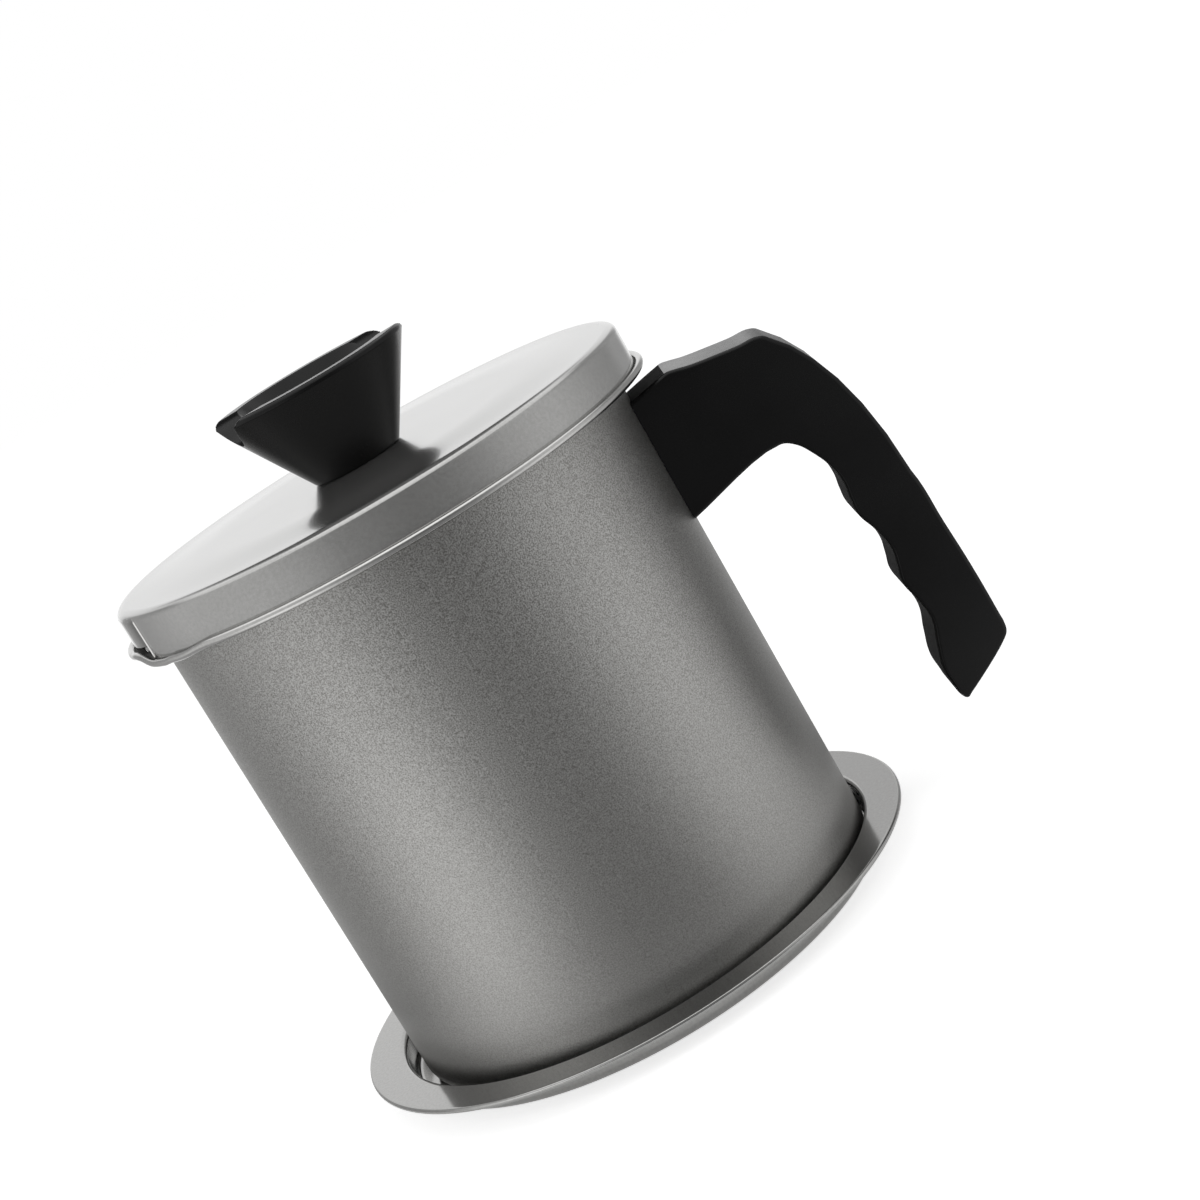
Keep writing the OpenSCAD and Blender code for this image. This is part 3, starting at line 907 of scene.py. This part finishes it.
# Handle: its side outline is a closed curve in shares of its reach and height, thickened with rounded edges
handle = {
    "wall": 55.8,
    "reach": 46.6,
    "low": 16.6,
    "height": 94.6,
    "thick": 16.8,
    "round": 0.9,
    "rootGap": 0.15,
    "rootCut": (130, 75),
    "screwReach": 14.0,
    "screwHole": 8.6,
    "screwSeat": 88.1,
    "matRoot": 0.19,
    "matFacing": (0.2, 0.5, 0.35),
    "smoothAngle": 35,
}
rootTop = (-0.03, 0.976)
rootFoot = (-0.03, 0.676)
elbow = (0.672, 0.955)
backBend = (0.953, 0.533)
topPoints = [
    (0.165, 0.9962), (0.2, 0.9988), (0.235, 0.9958), (0.3, 0.988),
    (0.42, 0.979), (0.53, 0.972), (0.637, 0.967),
]
backPoints = [(0.974, 0.39), (0.99, 0.27), (0.998, 0.14)]
cornerPoints = [(0.9985, 0.115), (0.99, 0.096), (0.965, 0.082), (0.71, 0.006), (0.688, 0.001), (0.667, 0.012)]
groovePoints = [
    (0.653, 0.05), (0.648, 0.089), (0.676, 0.147), (0.71, 0.207), (0.697, 0.263), (0.674, 0.315),
    (0.691, 0.356), (0.704, 0.395), (0.682, 0.453), (0.646, 0.504), (0.648, 0.543), (0.657, 0.58),
    (0.644, 0.626), (0.601, 0.676), (0.545, 0.715), (0.489, 0.73),
]
handlePoints = [rootTop, *topPoints, elbow, backBend, *backPoints, *cornerPoints, *groovePoints, rootFoot]
# The long curve from the elbow to the bend of the back is drawn by a pull at each of its ends
elbowPull = (0.82, 0.887)
backPull = (0.932, 0.744)


def onHandle(share):
    x = handle["wall"] + share[0] * handle["reach"]
    y = handle["low"] + share[1] * handle["height"]
    return Vector((x * mm, y * mm, 0))


pickNothing()
bpy.ops.curve.primitive_bezier_curve_add()
handleGrip = bpy.context.object
handleGrip.name = "handleGrip"
curve = handleGrip.data
curve.dimensions = "2D"
curve.fill_mode = "BOTH"
curve.resolution_u = 6
curve.extrude = (handle["thick"] / 2 - handle["round"]) * mm
curve.bevel_depth = handle["round"] * mm
curve.bevel_resolution = 3
curve.offset = -handle["round"] * mm
spline = curve.splines[0]
spline.bezier_points.add(len(handlePoints) - len(spline.bezier_points))
spline.use_cyclic_u = True
for point, share in zip(spline.bezier_points, handlePoints):
    point.co = onHandle(share)
    kind = "VECTOR" if share in (rootTop, rootFoot) else "AUTO"
    point.handle_left_type = kind
    point.handle_right_type = kind
point = spline.bezier_points[handlePoints.index(elbow)]
point.handle_right_type = "FREE"
point.handle_right = onHandle(elbowPull)
point = spline.bezier_points[handlePoints.index(backBend)]
point.handle_left_type = "FREE"
point.handle_left = onHandle(backPull)
pickOnly(handleGrip)
bpy.ops.object.convert(target="MESH")
handleGrip = bpy.context.object
handleGrip.name = "handleGrip"
editAll()
bpy.ops.mesh.remove_doubles(threshold=mergeReach)
bpy.ops.transform.rotate(value=-math.radians(90), orient_axis="X", center_override=(0, 0, 0))
bpy.ops.mesh.normals_make_consistent(inside=False)
leaveEdit()
cutBar(handleGrip, 256, handle["wall"] + handle["rootGap"], *handle["rootCut"])
holeDepth = handle["screwSeat"] - handle["low"]
screwX = handle["wall"] + handle["screwReach"]
cutBar(handleGrip, 48, handle["screwHole"] / 2, holeDepth, handle["low"] + holeDepth / 2, screwX)
handleGrip.data.materials.clear()
handleGrip.data.materials.append(moulded)
handleGrip.data.materials.append(grippy)
rootEnd = handle["wall"] + handle["matRoot"] * handle["reach"]
# Faces towards the pot, below, and on top of the root have the grip texture; the flat sides have none
inward, upright, sideways = handle["matFacing"]
for face in handleGrip.data.polygons:
    isInner = face.normal.x < -inward or face.normal.z < -upright
    onRoot = face.normal.z > upright and face.center.x / mm < rootEnd
    if abs(face.normal.y) < sideways and (isInner or onRoot):
        face.material_index = 1
smoothShading(handleGrip, handle["smoothAngle"])
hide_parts("handle_grip")
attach(handleGrip, "pot")
print("handle made:", len(handleGrip.data.polygons), "faces")


# Strainer: a drawn frame that hangs by its rim, woven wire on its ledge, and the hoop that clamps the wire
strainer = {
    "rimRadius": 58.6,
    "rimStep": 57,
    "wallRadius": 54.3,
    "wallSteps": (112, 107, 102),
    "ledgeRadius": 49.8,
    "ledgeStep": 52,
    "sheet": 0.5,
    "seat": 115.7,
    "ledge": 95.7,
    "bend": 0.6,
    "footBend": 0.15,
    "hoopOuter": 53.75,
    "hoopInner": 51.6,
    "hoopStep": 52.6,
    "hoopHeight": 1.6,
    "hoopRound": 0.35,
    "wireThick": 0.2,
    "wirePitch": 1.5,
    "wireRadius": 53.3,
    "wireMerge": 0.01,
    "steps": 240,
    "smoothAngle": 60,
}
half = strainer["sheet"] / 2
rimTop = strainer["seat"] + strainer["sheet"]
meshFoot = strainer["ledge"] + strainer["sheet"]
wallIn = strainer["wallRadius"] - strainer["sheet"]
bend = strainer["bend"]
footRound = strainer["footBend"]
topBend = (strainer["wallRadius"] + bend, strainer["seat"] - bend)
footBend = (wallIn - footRound, meshFoot + footRound)
frameOutline = [(strainer["rimStep"], strainer["seat"])]
frameOutline += arcPoints((strainer["rimRadius"] - half, strainer["seat"] + half), half, -90, 90, 6)
frameOutline += [(strainer["rimStep"], rimTop)]
frameOutline += arcPoints(topBend, bend + strainer["sheet"], 90, 180, 7)
frameOutline += [(wallIn, z) for z in strainer["wallSteps"]]
frameOutline += arcPoints(footBend, footRound, 0, -90, 3)
frameOutline += [(strainer["ledgeStep"], meshFoot)]
frameOutline += arcPoints((strainer["ledgeRadius"] + half, strainer["ledge"] + half), half, 90, 270, 6)
frameOutline += [(strainer["ledgeStep"], strainer["ledge"])]
frameOutline += arcPoints(footBend, footRound + strainer["sheet"], -90, 0, 6)
frameOutline += [(strainer["wallRadius"], z) for z in reversed(strainer["wallSteps"])]
frameOutline += arcPoints(topBend, bend, 180, 90, 5)
frameOutline += [(strainer["rimStep"], strainer["seat"])]
strainerFrame = turnOnLathe("strainerFrame", frameOutline, strainer["steps"])

corner = strainer["hoopRound"]
hoopOut = strainer["hoopOuter"] - corner
hoopIn = strainer["hoopInner"] + corner
hoopFoot = meshFoot + 2 * strainer["wireThick"]
hoopTop = hoopFoot + strainer["hoopHeight"]
hoopOutline = [(strainer["hoopStep"], hoopFoot)]
hoopOutline += arcPoints((hoopOut, hoopFoot + corner), corner, -90, 0, 4)
hoopOutline += arcPoints((hoopOut, hoopTop - corner), corner, 0, 90, 4)
hoopOutline += arcPoints((hoopIn, hoopTop - corner), corner, 90, 180, 4)
hoopOutline += arcPoints((hoopIn, hoopFoot + corner), corner, 180, 270, 4)
hoopOutline += [(strainer["hoopStep"], hoopFoot)]
strainerHoop = turnOnLathe("strainerHoop", hoopOutline, strainer["steps"])

# One wave of wire is repeated along its length, and then side by side with every second wire turned over
pitch = strainer["wirePitch"] * mm
swing = strainer["wireThick"] / 2 * mm
count = math.ceil(strainer["wireRadius"] * mm / pitch / 2)
pickNothing()
bpy.ops.mesh.primitive_circle_add(vertices=4, radius=swing, rotation=(0, math.radians(90), 0))
wires = bpy.context.object
wires.name = "strainerWeave"
bpy.ops.object.transform_apply(location=False, rotation=True, scale=False)
editAll()
for rise in (swing, -swing, -swing, swing):
    bpy.ops.mesh.extrude_region_move(TRANSFORM_OT_translate={"value": (pitch / 2, 0, rise)})
leaveEdit()


def repeat(piece, number, step):
    pickOnly(piece)
    modifier = piece.modifiers.new("repeat", "ARRAY")
    modifier.count = number
    modifier.use_relative_offset = False
    modifier.use_constant_offset = True
    modifier.constant_offset_displace = step
    modifier.use_merge_vertices = True
    modifier.merge_threshold = strainer["wireMerge"] * mm
    bpy.ops.object.modifier_apply(modifier=modifier.name)


def copyTurned(piece, angle, axis, move):
    pickOnly(piece)
    editAll()
    bpy.ops.mesh.duplicate()
    bpy.ops.transform.rotate(value=math.radians(angle), orient_axis=axis, center_override=(0, 0, 0))
    bpy.ops.transform.translate(value=move)
    leaveEdit()


repeat(wires, 2 * count, (2 * pitch, 0, 0))
copyTurned(wires, 180, "X", (0, pitch, 0))
repeat(wires, 2 * count, (0, 2 * pitch, 0))
pickVertices(wires, lambda x, y, z: True)
bpy.ops.transform.translate(value=(-2 * count * pitch, -2 * count * pitch + pitch / 2, 0))
leaveEdit()
copyTurned(wires, 90, "Z", (0, 0, 0))
pickVertices(wires, lambda x, y, z: math.hypot(x, y) > strainer["wireRadius"])
bpy.ops.mesh.delete(type="VERT")
bpy.ops.mesh.select_all(action="SELECT")
bpy.ops.mesh.fill_holes(sides=4)
bpy.ops.mesh.normals_make_consistent(inside=False)
bpy.ops.transform.translate(value=(0, 0, (meshFoot + strainer["wireThick"]) * mm))
leaveEdit()
strainerNodes = ("strainer_frame", "strainer_hoop", "strainer_mesh")
for piece, node in zip((strainerFrame, strainerHoop, wires), strainerNodes):
    piece.data.materials.append(stainless)
    smoothShading(piece, strainer["smoothAngle"])
    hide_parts(node)
    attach(piece, "strainer")
print("strainer made:", len(wires.data.polygons), "faces of wire")


# CAD nodes that stay get their finish
nodeFinishes = {
    "knob_insert": brass,
    "knob_screw": zinc,
    "knob_washer": zinc,
    "knob_seal": silicone,
    "handle_bracket": zinc,
    "handle_nut": zinc,
    "handle_screw": zinc,
    "handle_washer": zinc,
}
for name, finish in nodeFinishes.items():
    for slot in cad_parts[name].material_slots:
        slot.material = finish
print("CAD nodes finished")


# Studio: pale floor, white world, two soft lamps, and a tent round the object that only gloss sees
studio = {
    "floorColour": 0.82,
    "floorGlow": 0.62,
    "floorRadius": 4,
    "floorDrop": 0.1,
    "shadeGlow": 0.4,
    "shadeChange": (0.078, 0.1),
    "worldLight": 0.5,
    "lampAngles": (-66, 70),
    "lampDistance": 0.75,
    "lampSize": (0.4, 0.7),
    "lampHeight": 0.36,
    "lampTarget": 0.07,
    "lampPower": 2.4,
    "tentRadius": 0.2,
    "tentHeight": 0.55,
    "tentOpening": 148,
    "tentChange": (0.07, 0.095),
    "topChange": (0.25, 0.3),
    "footChange": (0.095, 0.135),
    "footShare": 0.6,
    "footRise": 0.3,
    "footScale": 0.42,
    "topGlow": 1.5,
    "roofGlow": 1.8,
    "backLow": 0.2,
    "backOverlap": 2,
    "backRise": 0.03,
    "backEnds": (146, 158),
    "backGlow": 0.1,
    "sideEnds": (149, 170),
    "sideHeight": 0.1,
    "sideGlow": 0.74,
}
# Brightness of the tent at angles from the camera, in its lower and its upper part
tentLow = [
    (-146, 1), (-139, 0.72), (-132, 0.52), (-110, 0.49), (-92, 0.45), (-74, 0.97), (-56, 1.48),
    (-40, 1.24), (-26, 0.7), (-10, 0.36), (10, 0.31), (28, 0.39), (42, 0.85), (58, 1.15),
    (74, 1.06), (88, 0.7), (104, 0.44), (124, 0.4), (138, 0.6), (146, 1),
]
tentHigh = [
    (-146, 1), (-139, 0.8), (-133, 0.42), (-118, 0.46), (-104, 0.66), (-90, 0.86), (-60, 0.86), (-45, 0.8),
    (-32, 0.62), (-20, 0.38), (0, 0.22), (8, 0.2), (20, 0.26), (32, 0.43), (44, 0.68), (56, 0.82),
    (68, 0.86), (80, 0.72), (96, 0.5), (112, 0.37), (122, 0.45), (135, 0.36), (140, 0.5), (146, 1),
]
cameraAngle = math.atan2(cameraSettings["place"][1], cameraSettings["place"][0])


# 1 for what is seen straight or through glass, and the given value for what is seen in gloss
def addSeen(owner, rays, glossy):
    seen = addMath(owner, "MAXIMUM", rays.outputs["Is Camera Ray"], glossy)
    return addMath(owner, "MAXIMUM", seen, rays.outputs["Is Transmission Ray"])


pickNothing()
bpy.ops.mesh.primitive_circle_add(
    vertices=96,
    radius=studio["floorRadius"],
    fill_type="NGON",
    location=(0, 0, -studio["floorDrop"] * mm),
)
floor = bpy.context.object
floor.name = "floor"
floorFinish = bpy.data.materials.new("floorFinish")
floorFinish.use_nodes = True
nodes = floorFinish.node_tree.nodes
nodes.clear()
diffuse = nodes.new("ShaderNodeBsdfDiffuse")
diffuse.inputs["Color"].default_value = (studio["floorColour"],) * 3 + (1,)
glow = nodes.new("ShaderNodeEmission")
both = nodes.new("ShaderNodeAddShader")
output = nodes.new("ShaderNodeOutputMaterial")
rays = nodes.new("ShaderNodeLightPath")
# Close to the tray, gloss sees the floor in shade
shade = addRange(floorFinish, addReach(floorFinish), studio["shadeGlow"], 1, *studio["shadeChange"])
glossy = addMath(floorFinish, "MULTIPLY", rays.outputs["Is Glossy Ray"], shade)
strength = addMath(floorFinish, "MULTIPLY", addSeen(floorFinish, rays, glossy), studio["floorGlow"])
plug(floorFinish, strength, glow.inputs["Strength"])
plug(floorFinish, diffuse.outputs["BSDF"], both.inputs[0])
plug(floorFinish, glow.outputs["Emission"], both.inputs[1])
plug(floorFinish, both.outputs["Shader"], output.inputs["Surface"])
floor.data.materials.append(floorFinish)

world = bpy.data.worlds.new("paleWorld")
world.use_nodes = True
bpy.context.scene.world = world
nodes = world.node_tree.nodes
nodes.clear()
light = nodes.new("ShaderNodeBackground")
light.inputs["Strength"].default_value = studio["worldLight"]
white = nodes.new("ShaderNodeBackground")
for background in (light, white):
    background.inputs["Color"].default_value = (1, 1, 1, 1)
rays = nodes.new("ShaderNodeLightPath")
choice = nodes.new("ShaderNodeMixShader")
output = nodes.new("ShaderNodeOutputWorld")
plug(world, addSeen(world, rays, rays.outputs["Is Glossy Ray"]), choice.inputs["Fac"])
plug(world, light.outputs["Background"], choice.inputs[1])
plug(world, white.outputs["Background"], choice.inputs[2])
plug(world, choice.outputs["Shader"], output.inputs["Surface"])

for angle in studio["lampAngles"]:
    direction = cameraAngle + math.radians(angle)
    place = Vector((math.cos(direction), math.sin(direction), 0)) * studio["lampDistance"]
    place.z = studio["lampHeight"]
    pickNothing()
    bpy.ops.object.light_add(type="AREA", location=place)
    lamp = bpy.context.object
    lamp.name = "softLamp"
    lamp.data.shape = "RECTANGLE"
    lamp.data.size, lamp.data.size_y = studio["lampSize"]
    lamp.data.energy = studio["lampPower"]
    aim = Vector((0, 0, studio["lampTarget"])) - place
    lamp.rotation_euler = aim.to_track_quat("-Z", "Y").to_euler()
    lamp.visible_camera = False
    lamp.visible_glossy = False


def tentAngle(x, y):
    away = math.degrees(math.atan2(y, x) - cameraAngle)
    return (away + 180) % 360 - 180


# An upright round screen between two heights, where the angle from the camera passes the test
def addScreen(name, low, high, test):
    pickNothing()
    bpy.ops.mesh.primitive_circle_add(vertices=180, radius=studio["tentRadius"], location=(0, 0, low))
    screen = bpy.context.object
    screen.name = name
    editAll()
    bpy.ops.mesh.extrude_region_move(TRANSFORM_OT_translate={"value": (0, 0, high - low)})
    leaveEdit()
    pickVertices(screen, lambda x, y, z: not test(tentAngle(x, y)))
    bpy.ops.mesh.delete(type="VERT")
    leaveEdit()
    return screen


def addGlow(screen):
    finish = bpy.data.materials.new(screen.name + "Finish")
    finish.use_nodes = True
    nodes = finish.node_tree.nodes
    nodes.clear()
    glow = nodes.new("ShaderNodeEmission")
    output = nodes.new("ShaderNodeOutputMaterial")
    plug(finish, glow.outputs["Emission"], output.inputs["Surface"])
    screen.data.materials.append(finish)
    return glow


tentHeight = studio["tentHeight"]
opening = studio["tentOpening"]
closing = opening - studio["backOverlap"]
tent = addScreen("tent", 0, tentHeight, lambda angle: abs(angle) <= opening)
back = addScreen("tentBack", studio["backLow"], tentHeight, lambda angle: abs(angle) >= closing)
sideStart, sideEnd = studio["sideEnds"]
side = addScreen("tentSide", 0, studio["sideHeight"], lambda angle: sideStart < angle < sideEnd)
# The tent's foot turns in over the floor as a flat ring
pickVertices(tent, lambda x, y, z: z < 1)
bpy.ops.mesh.extrude_region_move(TRANSFORM_OT_translate={"value": (0, 0, studio["footRise"] * mm)})
scale = studio["footScale"]
bpy.ops.transform.resize(value=(scale, scale, 1), center_override=(0, 0, 0))
leaveEdit()

# The tent's colour is a share of its brightest glow; the ring is dimmer close to the object
glow = addGlow(tent)
finish = tent.data.materials[0]
sweep = addSweep(finish, -cameraAngle)
parts = []
for brightness in (tentLow, tentHigh):
    places = [angle / 360 + 0.5 for angle, bright in brightness]
    shares = [bright / studio["topGlow"] for angle, bright in brightness]
    parts.append(addRamp(finish, sweep, places, shares))
blend = addMix(finish, addRange(finish, addHeight(finish), 0, 1, *studio["tentChange"]), *parts)
blend = addMix(finish, addRange(finish, addHeight(finish), 0, 1, *studio["topChange"]), blend, (1, 1, 1, 1))
plug(finish, blend, glow.inputs["Color"])
dimmed = studio["footShare"] * studio["topGlow"]
strength = addRange(finish, addReach(finish), dimmed, studio["topGlow"], *studio["footChange"])
plug(finish, strength, glow.inputs["Strength"])

pickNothing()
bpy.ops.mesh.primitive_circle_add(
    vertices=96, radius=studio["tentRadius"], fill_type="NGON", location=(0, 0, tentHeight)
)
roof = bpy.context.object
roof.name = "tentRoof"
for screen, bright in ((roof, studio["roofGlow"]), (side, studio["sideGlow"])):
    addGlow(screen).inputs["Strength"].default_value = bright

# The back is dark in its middle and fades to white at its foot and its two ends
glow = addGlow(back)
finish = back.data.materials[0]
endStart, endStop = ((180 - angle) / 360 for angle in studio["backEnds"])
atEnds = addRange(finish, addAngle(finish, math.pi - cameraAngle), 0, 1, endStop, endStart)
atFoot = addRange(finish, addHeight(finish), 1, 0, 0, studio["backRise"])
fades = addMath(finish, "MAXIMUM", atEnds, atFoot)
plug(finish, addRange(finish, fades, studio["backGlow"], 1, 0, 1), glow.inputs["Strength"])
for screen in (tent, roof, back, side):
    screen.visible_camera = False
    screen.visible_diffuse = False
    screen.visible_transmission = False
    screen.visible_shadow = False
print("studio set up")
